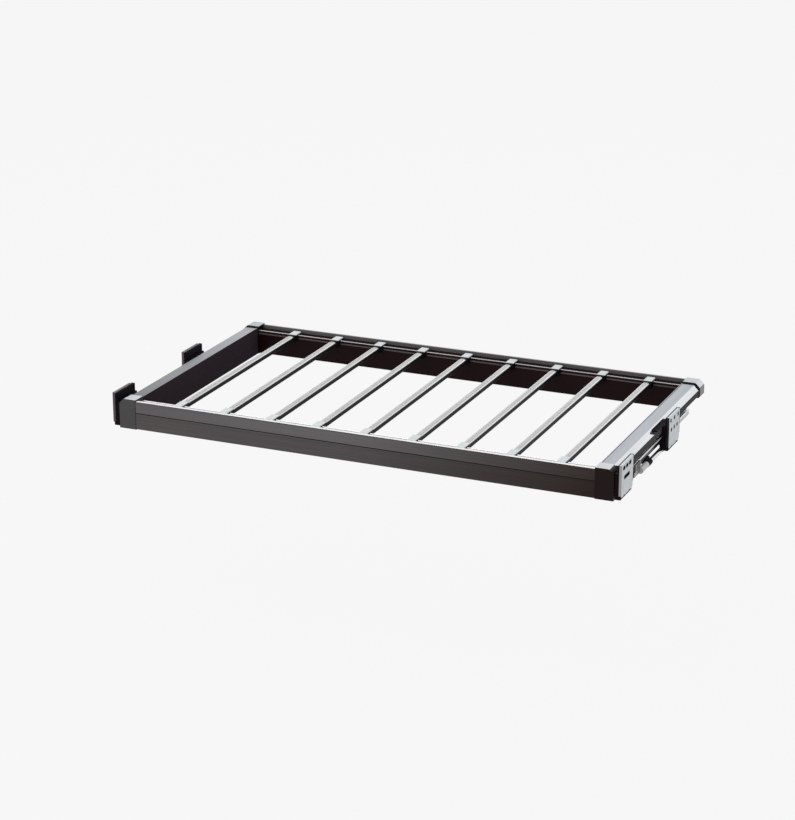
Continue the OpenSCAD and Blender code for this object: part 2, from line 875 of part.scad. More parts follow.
module carrier(side, rear) {
  y0 = carrier_start(rear);
  y1 = y0 + carrier_l;
  thin_x = carrier_x0 + carrier_thin;
  color([0.07, 0.07, 0.08]) seat() on_side(side) difference() {
    union() {
      along_x(carrier_x0, carrier_x1) polygon(carrier_outline(y0, y1));
      block([slide_x - outer_half + arm_inset, arm_start(rear), arm_z0],
            [carrier_x0 + over, arm_end(rear), arm_z1]);
      if (rear) block([foot_x0, y0, foot_z0], [carrier_x0 + over, y0 + foot_l, arm_z0 + over]);
    }
    block([carrier_x0 - over, y0 - over, carrier_thin_z], [thin_x, y1 + over, bracket_top]);
    block([thin_x - over, y0 + carrier_rim, carrier_thin_z + carrier_rim],
          [thin_x + carrier_recess, y1 - carrier_rim, carrier_top - carrier_rim]);
    block([carrier_x0 - over, y0 + carrier_rib, arm_z1 + carrier_rib],
          [carrier_x0 + carrier_pocket, y1 - carrier_rib, hole_row_z - hole_rows - head_pocket_d / 2 - carrier_rib]);
    plate_openings(rear, head_pocket_d - hole_d, carrier_x1 - head_pocket_depth, carrier_x1 + over);
    for (y = plate_rivet_rows(rear))
      rod_x(rivet_d + 2 * screw_fit, y, rivet_z, carrier_x0 - over, carrier_x1 + over);
    translate([slide_x, arm_rivet_y(rear), arm_z0 - over])
      cylinder(h = arm_t + 2 * over, d = rivet_d + 2 * screw_fit, $fn = round_fn);
    if (rear) rod_y(tail_d + 2 * screw_fit, damper_x, damper_z, y0 - over, y0 + tail_l + screw_fit);
  }
}

// Rivet with one flat head; its other end is flush with the face that it ends in
module rivet(l) {
  cylinder(h = l, d = rivet_d, $fn = round_fn);
  translate([0, 0, -rivet_head_h]) cylinder(h = rivet_head_h, d = rivet_head_d, $fn = round_fn);
}

module bracket_rivets() {
  color([0.6, 0.61, 0.63]) seat() for (side = [-1, 1]) on_side(side) {
    for (rear = [false, true], y = plate_rivet_rows(rear))
      translate([carrier_x0 + carrier_pocket, y, rivet_z]) rotate([0, 90, 0])
        rivet(plate_x - carrier_x0 - carrier_pocket);
    for (rear = [false, true])
      translate([slide_x, arm_rivet_y(rear), arm_z0]) rivet(arm_t + slide_sheet);
  }
}

// Soft close dampers

// Dark clamp under the slide that holds the front end of the cylinder in a ring
module damper_cradles() {
  y1 = damper_y0 + cradle_ring_l;
  ring = damper_d / 2 + cradle_ring_w;
  color([0.08, 0.08, 0.09]) seat() for (side = [-1, 1]) on_side(side) difference() {
    union() {
      block([slide_x - outer_half + arm_inset, y1 - cradle_l, slide_z0 - cradle_t],
            [slide_x + outer_half, y1, slide_z0]);
      block([slide_x, damper_y0, damper_z], [damper_x, y1, slide_z0]);
      rod_y(2 * ring, damper_x, damper_z, damper_y0, y1);
    }
    rod_y(damper_d + 2 * screw_fit, damper_x, damper_z, damper_y0 - over, y1 + over);
  }
}

module damper_cylinders() {
  color([0.85, 0.86, 0.88]) seat() for (side = [-1, 1]) on_side(side) difference() {
    union() {
      rod_y(damper_d, damper_x, damper_z, damper_y0, damper_y1);
      rod_y(tail_d, damper_x, damper_z, damper_y1 - over, damper_y1 + tail_l);
    }
    rod_y(damper_d - 2 * damper_wall, damper_x, damper_z, damper_y0 + 2 * damper_wall, damper_y1 - 2 * damper_wall);
    rod_y(rod_d + 2 * screw_fit, damper_x, damper_z, damper_y0 - over, damper_y0 + 2 * damper_wall + over);
  }
}

// Plastic housing on the piston rod: a round sleeve, a ribbed latch block and an upright cheek
module damper_housings() {
  y1 = damper_y0 - screw_fit;
  y0 = y1 - housing_l;
  cheek_x0 = slide_x + outer_half + slide_fit;
  latch_x0 = damper_x - latch_w;
  latch_x1 = cheek_x0 + cheek_t;
  latch_z0 = foot_z0 + latch_lift;
  latch_z1 = latch_z0 + latch_h;
  rib_pitch = (latch_l - latch_slot_l) / (2 * latch_ribs);
  color([0.62, 0.64, 0.66]) seat() for (side = [-1, 1]) on_side(side) difference() {
    union() {
      rod_y(housing_d, damper_x, damper_z, y0 - over, y1);
      rod_y(rod_d, damper_x, damper_z, y1 - over, damper_y0 + rod_in);
      block([latch_x0, y0 - latch_l, latch_z0], [latch_x1, y0, latch_z1]);
      block([cheek_x0, y0 - cheek_l, latch_z0], [latch_x1, y0, latch_z0 + cheek_h]);
    }
    block([latch_x0 + latch_slot_w, y0 - latch_l - over, latch_z0 + latch_slot_w],
          [cheek_x0, y0 - latch_l + latch_slot_l, latch_z1 + over]);
    for (i = [1:latch_ribs])
      block([latch_x1 - latch_rib_depth, y0 - 2 * i * rib_pitch, latch_z0 - over],
            [latch_x1 + over, y0 - (2 * i - 1) * rib_pitch, latch_z0 + cheek_h + over]);
  }
}

module colored_rail() {
  color([0.27, 0.24, 0.24]) children();
}

module colored_cap() {
  color([0.3, 0.29, 0.29]) children();
}

colored_rail() cross_rail(false);  // front_rail
colored_rail() cross_rail(true);  // back_rail
colored_rail() side_rail(-1);  // side_rail_left
colored_rail() side_rail(1);  // side_rail_right
colored_cap() front_cap(-1);  // cap_front_left
colored_cap() front_cap(1);  // cap_front_right
colored_cap() rear_cap(-1);  // cap_rear_left
colored_cap() rear_cap(1);  // cap_rear_right
color([0.03, 0.03, 0.03]) rear_gaskets();
rack_screws();
for (k = [1:bar_count]) {
  bar(k);
  grip_strip(k);
  bar_clips(k);
}
slide_outer(-1);  // slide_outer_left
slide_outer(1);  // slide_outer_right
slide_middle(-1);  // slide_middle_left
slide_middle(1);  // slide_middle_right
slide_inner(-1);  // slide_inner_left
slide_inner(1);  // slide_inner_right
cage_outer(-1);  // cage_outer_left
cage_outer(1);  // cage_outer_right
cage_inner(-1);  // cage_inner_left
cage_inner(1);  // cage_inner_right
wall_plate(-1, false);  // wall_plate_front_left
wall_plate(1, false);  // wall_plate_front_right
wall_plate(-1, true);  // wall_plate_rear_left
wall_plate(1, true);  // wall_plate_rear_right
carrier(-1, false);  // carrier_front_left
carrier(1, false);  // carrier_front_right
carrier(-1, true);  // carrier_rear_left
carrier(1, true);  // carrier_rear_right
bracket_rivets();
damper_cradles();
damper_cylinders();
damper_housings();
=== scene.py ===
import bpy
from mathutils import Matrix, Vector


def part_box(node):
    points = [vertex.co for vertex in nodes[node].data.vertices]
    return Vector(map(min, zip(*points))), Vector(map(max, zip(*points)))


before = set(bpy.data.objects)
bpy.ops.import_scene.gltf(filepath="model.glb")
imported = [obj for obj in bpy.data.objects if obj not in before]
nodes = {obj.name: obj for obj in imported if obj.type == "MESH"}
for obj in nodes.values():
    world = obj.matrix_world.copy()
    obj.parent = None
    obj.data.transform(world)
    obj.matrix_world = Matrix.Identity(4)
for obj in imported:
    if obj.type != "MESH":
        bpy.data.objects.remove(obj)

scene = bpy.context.scene
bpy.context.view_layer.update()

scene.view_settings.view_transform = "Standard"


# Camera at the photograph's place, solved from the frame's corners

CAMERA_PLACE = Vector((1.4579, -3.4414, 1.2971))
CAMERA_VIEW = Vector((-0.37564, 0.86798, -0.32490))
CAMERA_LENS = 105.92
SENSOR_HEIGHT = 36.0
CAMERA_REACH = 100.0

camera_data = bpy.data.cameras.new("camera")
camera_data.sensor_fit = "VERTICAL"
camera_data.sensor_height = SENSOR_HEIGHT
camera_data.lens = CAMERA_LENS
camera_data.clip_end = CAMERA_REACH
camera = bpy.data.objects.new("camera", camera_data)
scene.collection.objects.link(camera)
camera.location = CAMERA_PLACE
camera.rotation_euler = CAMERA_VIEW.to_track_quat("-Z", "Y").to_euler()
scene.camera = camera


# Measures that the colours follow, in metres: from the nodes' boxes and the section of the rails

MM = 0.001

RAIL_LOW, RAIL_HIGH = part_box("back_rail")
RAIL_END = RAIL_HIGH.x
RAIL_INNER = RAIL_LOW.y
RAIL_OUTER = RAIL_HIGH.y
RAIL_TOP = RAIL_HIGH.z
LIP_START = RAIL_TOP - 2.5 * MM
LIP_WALL = RAIL_OUTER - 5.4 * MM
CHANNEL_FLOOR = RAIL_TOP - 6.4 * MM
BAND_Z = RAIL_TOP - 10.5 * MM
GROOVE_Z = RAIL_TOP - 20.0 * MM
FRONT_RIDGE_Z = RAIL_TOP - 8.4 * MM
BACK_RIDGE_Z = RAIL_TOP - 6.2 * MM

BAR_REACH = RAIL_INNER - 10.0 * MM
# Where the painted shade at the rear clips' mouths ends.
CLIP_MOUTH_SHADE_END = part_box("bar_clips_1")[1].y - 22.4 * MM
SLIDE_ROLL_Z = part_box("slide_outer_right")[0].z + 6.5 * MM

HOUSING_LOW, HOUSING_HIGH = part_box("damper_housings")
LATCH_END = HOUSING_LOW.y + 28.95 * MM
LATCH_RIBS_X = HOUSING_HIGH.x - 5.1 * MM
CHEEK_Z = HOUSING_HIGH.z - 11.1 * MM

FRONT_PLATE_LOW, FRONT_PLATE_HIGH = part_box("wall_plate_front_right")
REAR_PLATE_LOW, REAR_PLATE_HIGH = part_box("wall_plate_rear_right")

# Openings of the wall plates: the front ones have slots and the rear ones round holes

UPPER_ROW_Z = REAR_PLATE_HIGH.z - 6.8 * MM
LOWER_ROW_Z = UPPER_ROW_Z - 16.0 * MM
SLOT_MID_Y = (FRONT_PLATE_LOW.y + FRONT_PLATE_HIGH.y) / 2 - 2.0 * MM
HOLE_MID_Y = (REAR_PLATE_LOW.y + REAR_PLATE_HIGH.y) / 2
SLOT_RADIUS = 2.5 * MM
HOLE_RADIUS = 2.75 * MM

# Each row as (middle y, row z, pitch, half straight length, radius)
FRONT_OPENINGS = ((SLOT_MID_Y, UPPER_ROW_Z, 14.0 * MM, 2.5 * MM, SLOT_RADIUS),
                  (SLOT_MID_Y, LOWER_ROW_Z, 0.0, 10.5 * MM, SLOT_RADIUS))
REAR_OPENINGS = ((HOLE_MID_Y, UPPER_ROW_Z, 19.0 * MM, 0.0, HOLE_RADIUS),
                 (HOLE_MID_Y, LOWER_ROW_Z, 15.0 * MM, 0.0, HOLE_RADIUS))


# Range that a noise mostly keeps to, and the narrower one that a clouding uses

NOISE_RANGE = (0.25, 0.75)
CLOUD_RANGE = (0.3, 0.7)


def lin(r, g, b):
    """A colour given as it looks on a screen, from 0 to 255."""
    def one(v):
        v = v / 255.0
        return v / 12.92 if v <= 0.04045 else ((v + 0.055) / 1.055) ** 2.4
    return (one(r), one(g), one(b), 1.0)


def scaled_color(color, factor):
    """A colour made darker or lighter, and not above white."""
    return tuple(min(1.0, c * factor) for c in color[:3]) + (1.0,)


def grey(level):
    """A grey given as its linear value."""
    return (level, level, level, 1.0)


class Tree:
    """Short calls for building the node tree of a material or of the world."""

    def __init__(self, owner, output):
        owner.use_nodes = True
        self.tree = owner.node_tree
        self.tree.nodes.clear()
        self.out = self.node(output)

    def node(self, kind, **values):
        made = self.tree.nodes.new(kind)
        for key, value in values.items():
            setattr(made, key, value)
        return made

    def link(self, output, socket):
        self.tree.links.new(output, socket)

    def feed(self, socket, value):
        """Links a node's output to the socket, or sets a plain value on it."""
        if isinstance(value, (int, float, tuple)):
            socket.default_value = value
        else:
            self.link(value, socket)

    def math(self, operation, first, second=None):
        made = self.node("ShaderNodeMath", operation=operation)
        self.feed(made.inputs[0], first)
        if second is not None:
            self.feed(made.inputs[1], second)
        return made.outputs["Value"]

    def shader(self, kind, color):
        made = self.node(kind)
        made.inputs["Color"].default_value = color
        return made

    def show(self, lighting, seen, share=1.0):
        """Lights the rack with one shader, and shows a share of the other to the camera and in mirrors."""
        path = self.node("ShaderNodeLightPath")
        mask = self.math("MAXIMUM", path.outputs["Is Camera Ray"], path.outputs["Is Glossy Ray"])
        mask = self.math("MAXIMUM", mask, path.outputs["Is Transmission Ray"])
        blend = self.node("ShaderNodeMixShader")
        self.link(self.math("MULTIPLY", mask, share), blend.inputs["Fac"])
        self.link(lighting.outputs[0], blend.inputs[1])
        self.link(seen.outputs[0], blend.inputs[2])
        self.link(blend.outputs[0], self.out.inputs["Surface"])


class Mat(Tree):
    """A material around one Principled shader, coloured by place, direction and noise."""

    def __init__(self, name, metallic=0.0, specular=0.5):
        self.mat = bpy.data.materials.new(name)
        super().__init__(self.mat, "ShaderNodeOutputMaterial")
        self.bsdf = self.node("ShaderNodeBsdfPrincipled")
        self.bsdf.inputs["Metallic"].default_value = metallic
        self.bsdf.inputs["Specular IOR Level"].default_value = specular
        self.link(self.bsdf.outputs["BSDF"], self.out.inputs["Surface"])
        self.coords = self.node("ShaderNodeTexCoord")

    def scaled(self, scale):
        """Object coordinates times a scale, given once or for each axis."""
        made = self.node("ShaderNodeMapping")
        made.inputs["Scale"].default_value = scale if isinstance(scale, tuple) else (scale,) * 3
        self.link(self.coords.outputs["Object"], made.inputs["Vector"])
        return made.outputs["Vector"]

    def noise(self, scale, detail=3.0, rough=0.55):
        made = self.node("ShaderNodeTexNoise")
        made.inputs["Scale"].default_value = 1.0
        made.inputs["Detail"].default_value = detail
        made.inputs["Roughness"].default_value = rough
        self.link(self.scaled(scale), made.inputs["Vector"])
        return made.outputs["Fac"]

    def place(self, axis, space="Object"):
        """The position along an axis."""
        made = self.node("ShaderNodeSeparateXYZ")
        self.link(self.coords.outputs[space], made.inputs[0])
        return made.outputs["XYZ".index(axis)]

    def normal(self, axis):
        """How far the surface faces along an axis, from -1 to 1."""
        return self.place(axis, "Normal")

    def absolute(self, value):
        return self.math("ABSOLUTE", value)

    def remap(self, value, start, end, low, high, smooth=False):
        """Runs from low at start to high at end, and stays level outside them."""
        made = self.node("ShaderNodeMapRange", interpolation_type="SMOOTHSTEP" if smooth else "LINEAR")
        for key, v in zip(("From Min", "From Max", "To Min", "To Max"), (start, end, low, high)):
            made.inputs[key].default_value = v
        self.link(value, made.inputs["Value"])
        return made.outputs["Result"]

    def rise(self, value, start, end, smooth=False):
        """A mask that runs from 0 at start to 1 at end."""
        return self.remap(value, start, end, 0.0, 1.0, smooth)

    def fall(self, value, start, end):
        """A mask that runs from 1 at start to 0 at end."""
        return self.remap(value, start, end, 1.0, 0.0)

    def close(self, value, middle, near, far):
        """A mask that is 1 up to near away from the middle and 0 from far away on."""
        return self.fall(self.absolute(self.math("SUBTRACT", value, middle)), near, far)

    def both(self, first, second):
        """The part that two masks share."""
        return self.math("MULTIPLY", first, second)

    def ramp(self, value, stops):
        made = self.node("ShaderNodeValToRGB")
        elements = made.color_ramp.elements
        while len(elements) < len(stops):
            elements.new(0.5)
        for element, (position, color) in zip(elements, stops):
            element.position = position
            element.color = color
        self.link(value, made.inputs["Fac"])
        return made.outputs["Color"]

    def mix(self, share, first, second, blend="MIX", kind="RGBA"):
        made = self.node("ShaderNodeMix", data_type=kind, blend_type=blend)
        for name, value in (("Factor", share), ("A", first), ("B", second)):
            self.feed([s for s in made.inputs if s.name == name and s.enabled][0], value)
        return [s for s in made.outputs if s.enabled][0]

    def noisy(self, noise, low, high):
        """A value that runs from low to high over the range that a noise mostly keeps to."""
        return self.remap(noise, *NOISE_RANGE, low, high)

    def vary(self, color, noise, low, high):
        """Multiplies a colour by a grey that runs from low to high with the noise."""
        made = self.node("ShaderNodeCombineColor")
        value = self.noisy(noise, low, high)
        for channel in range(3):
            self.link(value, made.inputs[channel])
        return self.mix(1.0, color, made.outputs[0], "MULTIPLY")

    def cloudy(self, cloud, low_color, high_color):
        """A colour that wanders between two with the noise."""
        return self.mix(self.rise(cloud, *CLOUD_RANGE), low_color, high_color)

    def bump(self, *heights):
        """Chains bumps given as (height, strength, distance)."""
        last = None
        for height, strength, distance in heights:
            made = self.node("ShaderNodeBump")
            made.inputs["Strength"].default_value = strength
            made.inputs["Distance"].default_value = distance
            self.link(height, made.inputs["Height"])
            if last:
                self.link(last, made.inputs["Normal"])
            last = made.outputs["Normal"]
        self.link(last, self.bsdf.inputs["Normal"])

    def color(self, value):
        self.link(value, self.bsdf.inputs["Base Color"])

    def rough(self, noise, low, high):
        self.link(self.noisy(noise, low, high), self.bsdf.inputs["Roughness"])

    def metal(self, mask, high, low=0.0):
        """Metallic share that follows a mask, so that dark faces don't mirror the pale room."""
        self.link(self.remap(mask, 0.0, 1.0, low, high), self.bsdf.inputs["Metallic"])


EDGE_SEGMENTS = 2
EDGE_ANGLE = 0.6


def named(*prefixes):
    """The CAD nodes whose names start with one of the prefixes."""
    return [obj for name, obj in nodes.items() if name.startswith(prefixes)]


def use(mat, *prefixes):
    """Gives the nodes one material."""
    for obj in named(*prefixes):
        obj.data.materials.clear()
        obj.data.materials.append(mat.mat)


def soften(width, *prefixes):
    """Rounds the sharp edges a little."""
    for obj in named(*prefixes):
        edge = obj.modifiers.new("edge", "BEVEL")
        edge.width = width
        edge.segments = EDGE_SEGMENTS
        edge.limit_method = "ANGLE"
        edge.angle_limit = EDGE_ANGLE
        edge.harden_normals = False


def satin(m, along, strength=0.12):
    """Adds the relief of drawn lines and a fine grain; returns the lines and a soft clouding."""
    streak = m.noise((3, 420, 420) if along == "x" else (420, 3, 420))
    cloud = m.noise(8, detail=4.0)
    grain = m.noise(2400, detail=2.0)
    m.bump((streak, strength, 0.08 * MM), (grain, 0.10, 0.03 * MM))
    return streak, cloud


# Front and back rails: dark anodised faces with a painted gradient, lighter at the left end and darker at
# the right, painted highlights on the lip and ridge, and painted shade in the groove and the channel.
# A pair such as LIP_LEVEL says where a mask starts and ends, by how far a face looks its way.

# Painted light along the outer face: lighter at the left end, darker at the right, and the band above the
# groove lighter than the band below.
FACE_ABOVE_GROOVE_LIT_TO_SHADED = ((0.0, lin(104, 100, 103)), (0.45, lin(108, 106, 107)), (1.0, lin(58, 51, 48)))
FACE_BELOW_GROOVE_LIT_TO_SHADED = ((0.0, lin(91, 86, 86)), (0.45, lin(88, 84, 85)), (1.0, lin(49, 40, 37)))
# Painted shade in the groove line; the inside of the rail is its own dark colour, deepened with painted
# shade in the channel.
GROOVE_SHADE = lin(36, 31, 32)
CHANNEL_DARK_AND_SHADE = lin(32, 16, 17)
LIP_ROUNDING = (0.15, 0.30)
LIP_LEVEL = (0.72, 0.88)
RIDGE_BLEND = 0.4
OUTER_METAL = 0.6


def cross_rail_material(name, lip, lip_edge_shade, lip_wall, ridge, band, ridge_facing, ridge_z):
    m = Mat(name, specular=0.06)
    streak, cloud = satin(m, "x", strength=0.16)
    y = m.absolute(m.place("Y"))
    z = m.place("Z")
    facing_up = m.normal("Z")

    along = m.rise(m.place("X"), -RAIL_END, RAIL_END)
    above = m.ramp(along, FACE_ABOVE_GROOVE_LIT_TO_SHADED)
    below = m.ramp(along, FACE_BELOW_GROOVE_LIT_TO_SHADED)
    face = m.mix(m.rise(z, GROOVE_Z - 0.4 * MM, GROOVE_Z + 0.4 * MM), below, above)
    face = m.mix(m.close(z, GROOVE_Z, 0.5 * MM, 0.9 * MM), face, GROOVE_SHADE)

    lip_side = m.both(m.rise(y, LIP_WALL - 0.6 * MM, LIP_WALL - 0.2 * MM),
                      m.rise(z, CHANNEL_FLOOR, CHANNEL_FLOOR + 0.4 * MM))
    inside = m.mix(lip_side, CHANNEL_DARK_AND_SHADE, lip_wall)
    inner_band = m.both(m.close(z, BAND_Z, 1.2 * MM, 1.5 * MM),
                        m.fall(y, RAIL_INNER, RAIL_INNER + 0.4 * MM))
    inside = m.mix(inner_band, inside, band)

    outer = m.rise(y, RAIL_OUTER - 4.7 * MM, RAIL_OUTER - 4.0 * MM)
    body = m.mix(outer, inside, face)
    # Painted shade where the lip rounds over, and painted highlights on the lip top and the ridge top.
    at_lip = m.rise(z, LIP_START, LIP_START + 0.5 * MM)
    body = m.mix(m.both(m.rise(facing_up, *LIP_ROUNDING), at_lip), body, lip_edge_shade)

    lip_top = m.both(m.rise(facing_up, *LIP_LEVEL), at_lip)
    ridge_top = m.both(m.rise(facing_up, ridge_facing, ridge_facing + RIDGE_BLEND),
                       m.rise(z, ridge_z, ridge_z + 0.3 * MM))
    ridge_top = m.both(ridge_top, m.fall(y, RAIL_INNER + 3.5 * MM, RAIL_INNER + 4.0 * MM))
    light = m.math("MAXIMUM", lip_top, ridge_top)
    m.metal(m.math("MAXIMUM", light, m.math("MULTIPLY", outer, OUTER_METAL)), high=0.85)

    color = m.mix(lip_top, body, lip)
    color = m.mix(ridge_top, color, ridge)
    color = m.vary(color, streak, 0.88, 1.11)
    m.color(m.vary(color, cloud, 0.95, 1.05))
    m.rough(streak, 0.30, 0.42)
    return m


# Lit and shaded copies of one extrusion: the front rail has bright painted highlights on lip and ridge,
# and the back rail has dimmer ones.
use(cross_rail_material("rail_front", lip=lin(244, 244, 246), lip_edge_shade=lin(62, 58, 59),
                        lip_wall=lin(60, 55, 57), ridge=lin(240, 240, 240), band=lin(60, 55, 56),
                        ridge_facing=-0.5, ridge_z=FRONT_RIDGE_Z), "front_rail")
use(cross_rail_material("rail_back", lip=lin(150, 149, 152), lip_edge_shade=lin(70, 68, 70),
                        lip_wall=lin(112, 108, 111), ridge=lin(172, 166, 168), band=lin(94, 86, 88),
                        ridge_facing=0.05, ridge_z=BACK_RIDGE_Z), "back_rail")


# Side rails: painted silver reflection on the top and the polished chamfer, dark sides and web, and the
# outer side painted a lighter grey than the web

WEB_DARK = lin(54, 45, 50)
BOX_SIDE_GREY = lin(84, 84, 88)
BOX_CHAMFER = (0.45, 0.62)
BOX_LEVEL = (0.80, 0.92)
SLOPE_METAL = 0.9
GLOSS_METAL = 0.1
POLISHED_ROUGHNESS = 0.07


def side_rail_material(name, top_sheen_near, top_sheen_far, chamfer):
    m = Mat(name, specular=0.0)
    streak, cloud = satin(m, "y")
    facing_up = m.normal("Z")
    slope = m.rise(facing_up, *BOX_CHAMFER)
    flat = m.rise(facing_up, *BOX_LEVEL)
    gloss = m.math("SUBTRACT", slope, flat)
    m.metal(m.math("ADD", m.math("MULTIPLY", slope, SLOPE_METAL),
                   m.math("MULTIPLY", gloss, GLOSS_METAL)), high=1.0)

    # Painted reflection on the top, changing from the near end to the far end, and a painted highlight on
    # the chamfer.
    top = m.mix(m.rise(m.place("Y"), -RAIL_INNER, RAIL_INNER - 50.0 * MM), top_sheen_near, top_sheen_far)
    outward = m.rise(m.absolute(m.place("X")), RAIL_END + 2.5 * MM, RAIL_END + 8.5 * MM)
    color = m.mix(slope, m.mix(outward, WEB_DARK, BOX_SIDE_GREY), chamfer)
    color = m.mix(flat, color, top)
    color = m.vary(color, streak, 0.90, 1.09)
    m.color(m.vary(color, cloud, 0.94, 1.06))
    roughness = m.mix(gloss, m.noisy(streak, 0.28, 0.38), POLISHED_ROUGHNESS, kind="FLOAT")
    m.link(roughness, m.bsdf.inputs["Roughness"])
    return m


# Lit and shaded copies: the left rail has a darker painted reflection near the front and a dimmer chamfer
# highlight than the right rail.
use(side_rail_material("rail_side_left", top_sheen_near=lin(124, 126, 130), top_sheen_far=lin(170, 173, 179),
                       chamfer=lin(205, 207, 210)), "side_rail_left")
use(side_rail_material("rail_side_right", top_sheen_near=lin(172, 177, 183), top_sheen_far=lin(168, 174, 181),
                       chamfer=lin(230, 232, 235)), "side_rail_right")


# Corner caps: satin cast parts in the rails' dark colour, with painted reflection on the light top and
# chamfer, painted shade on the inner faces, and lit and shaded copies for the corners

# Painted shade on the caps' faces inboard of the rail ends.
CAP_INSIDE_SHADE = lin(30, 24, 26)
CAP_FRONT = (0.5, 0.8)
CAP_CHAMFER = (0.40, 0.62)
CAP_LEVEL = (0.80, 0.93)
CAP_UPRIGHT = (0.3, 0.6)


def cap_material(name, front, top, chamfer, side):
    m = Mat(name, specular=0.08)
    grain = m.noise(1500)
    cloud = m.noise(22, detail=4.0)
    facing_up = m.normal("Z")
    slope = m.rise(facing_up, *CAP_CHAMFER)
    color = m.mix(m.rise(m.absolute(m.normal("Y")), *CAP_FRONT), side, front)
    color = m.mix(slope, color, chamfer)
    color = m.mix(m.rise(facing_up, *CAP_LEVEL), color, top)
    m.metal(slope, low=0.25, high=0.85)
    inside = m.both(m.fall(m.absolute(m.place("X")), RAIL_END + 0.5 * MM, RAIL_END + 1.5 * MM),
                    m.fall(facing_up, *CAP_UPRIGHT))
    color = m.mix(inside, color, CAP_INSIDE_SHADE)
    color = m.vary(color, cloud, 0.94, 1.06)
    m.color(m.vary(color, grain, 0.97, 1.03))
    m.rough(cloud, 0.30, 0.42)
    m.bump((grain, 0.18, 0.05 * MM), (cloud, 0.05, 0.6 * MM))
    return m


# Lit and shaded copies of one cap: the front right cap's front and chamfer are painted dark as shade, and
# the rear caps' chamfer and side are painted light as reflection.
use(cap_material("cap_front_left", front=lin(82, 81, 81), top=lin(214, 215, 219),
                 chamfer=lin(158, 158, 160), side=lin(60, 58, 60)), "cap_front_left")
use(cap_material("cap_front_right", front=lin(35, 25, 24), top=lin(205, 208, 211),
                 chamfer=lin(52, 47, 49), side=lin(52, 49, 50)), "cap_front_right")
use(cap_material("cap_rear", front=lin(80, 77, 78), top=lin(192, 195, 198),
                 chamfer=lin(216, 219, 222), side=lin(132, 135, 140)), "cap_rear")


# Gaskets between the rear caps and the side rails

def rubber(name, color):
    m = Mat(name, specular=0.05)
    grain = m.noise(1800)
    m.color(m.cloudy(m.noise(60), scaled_color(color, 0.88), scaled_color(color, 1.12)))
    m.rough(grain, 0.6, 0.75)
    m.bump((grain, 0.35, 0.1 * MM))
    return m


use(rubber("gasket_rubber", lin(14, 13, 14)), "rear_gaskets")


# Bars: shoulders painted light as a reflection on black sides, and a ribbed grey strip that keeps the
# cloth from sliding

BAR_SIDE_BLACK = lin(30, 29, 30)
BAR_TOP_SHEEN_NEAR = lin(212, 211, 211)
BAR_TOP_SHEEN_FAR = lin(228, 227, 227)
BAR_SHOULDER = (0.30, 0.80)
# Painted light on the grip strip: a lit top and shaded sides.
STRIP_SIDE_SHADED = lin(160, 160, 161)
STRIP_TOP_LIT = lin(232, 231, 231)
STRIP_LEVEL = (0.2, 0.9)


def bar_material():
    m = Mat("bar_satin", specular=0.03)
    streak, cloud = satin(m, "y")
    up = m.rise(m.normal("Z"), *BAR_SHOULDER, smooth=True)
    m.metal(up, high=0.8)
    # Painted reflection on the upward faces, lighter towards the far end.
    top = m.mix(m.rise(m.place("Y"), -BAR_REACH, BAR_REACH), BAR_TOP_SHEEN_NEAR, BAR_TOP_SHEEN_FAR)
    color = m.mix(up, BAR_SIDE_BLACK, top)
    color = m.vary(color, streak, 0.94, 1.05)
    m.color(m.vary(color, cloud, 0.96, 1.04))
    m.rough(streak, 0.30, 0.44)
    return m


use(bar_material(), *[f"bar_{number}" for number in range(1, 10)])


def grip_material():
    m = Mat("grip_rubber")
    wave = m.node("ShaderNodeTexWave", wave_type="BANDS", bands_direction="Y", wave_profile="SIN")
    wave.inputs["Scale"].default_value = 1.0
    wave.inputs["Distortion"].default_value = 0.0
    m.link(m.scaled(260), wave.inputs["Vector"])
    ribs = wave.outputs["Fac"]
    grain = m.noise(2000, detail=2.0)
    # Painted light: the strip's top is lighter than its sides.
    color = m.mix(m.rise(m.normal("Z"), *STRIP_LEVEL), STRIP_SIDE_SHADED, STRIP_TOP_LIT)
    color = m.vary(color, m.noise((50, 30, 50)), 0.93, 1.06)
    m.color(m.vary(color, ribs, 0.985, 1.01))
    m.rough(grain, 0.5, 0.66)
    m.bump((ribs, 0.05, 0.10 * MM), (grain, 0.08, 0.04 * MM))
    return m


use(grip_material(), "grip_strip")


# Clips: pale lit tops and shaded black sides painted by direction, and painted shade at the mouth of the
# rear ones where the bar enters

# Painted light by direction: the upward faces lit pale, the sides and underside shaded black.
CLIP_LIT_AND_SHADED_TONES = ((0.0, lin(14, 13, 15)), (0.60, lin(18, 17, 19)), (0.78, lin(92, 95, 97)),
              (0.90, lin(226, 232, 234)), (1.0, lin(234, 240, 242)))
MOUTH_SHADE = lin(22, 21, 23)


def clip_material():
    m = Mat("clip_plastic", specular=0.03)
    grain = m.noise(1300)
    cloud = m.noise(70)
    color = m.ramp(m.rise(m.normal("Z"), -1.0, 1.0), CLIP_LIT_AND_SHADED_TONES)
    y = m.place("Y")
    # Painted shade at the mouth of the rear clips, where the bar enters.
    at_rear = m.rise(y, 0.0, 10.0 * MM)
    mouth_shade_mask = m.both(at_rear, m.fall(y, CLIP_MOUTH_SHADE_END - 0.2 * MM, CLIP_MOUTH_SHADE_END + 0.2 * MM))
    color = m.mix(mouth_shade_mask, color, MOUTH_SHADE)
    m.color(m.vary(color, cloud, 0.94, 1.05))
    m.rough(cloud, 0.34, 0.46)
    m.bump((grain, 0.22, 0.06 * MM))
    return m


use(clip_material(), "bar_clips")


# Zinc-plated steel: plates with painted shade around their openings and on some edges, slide members,
# cages, rivets, screws

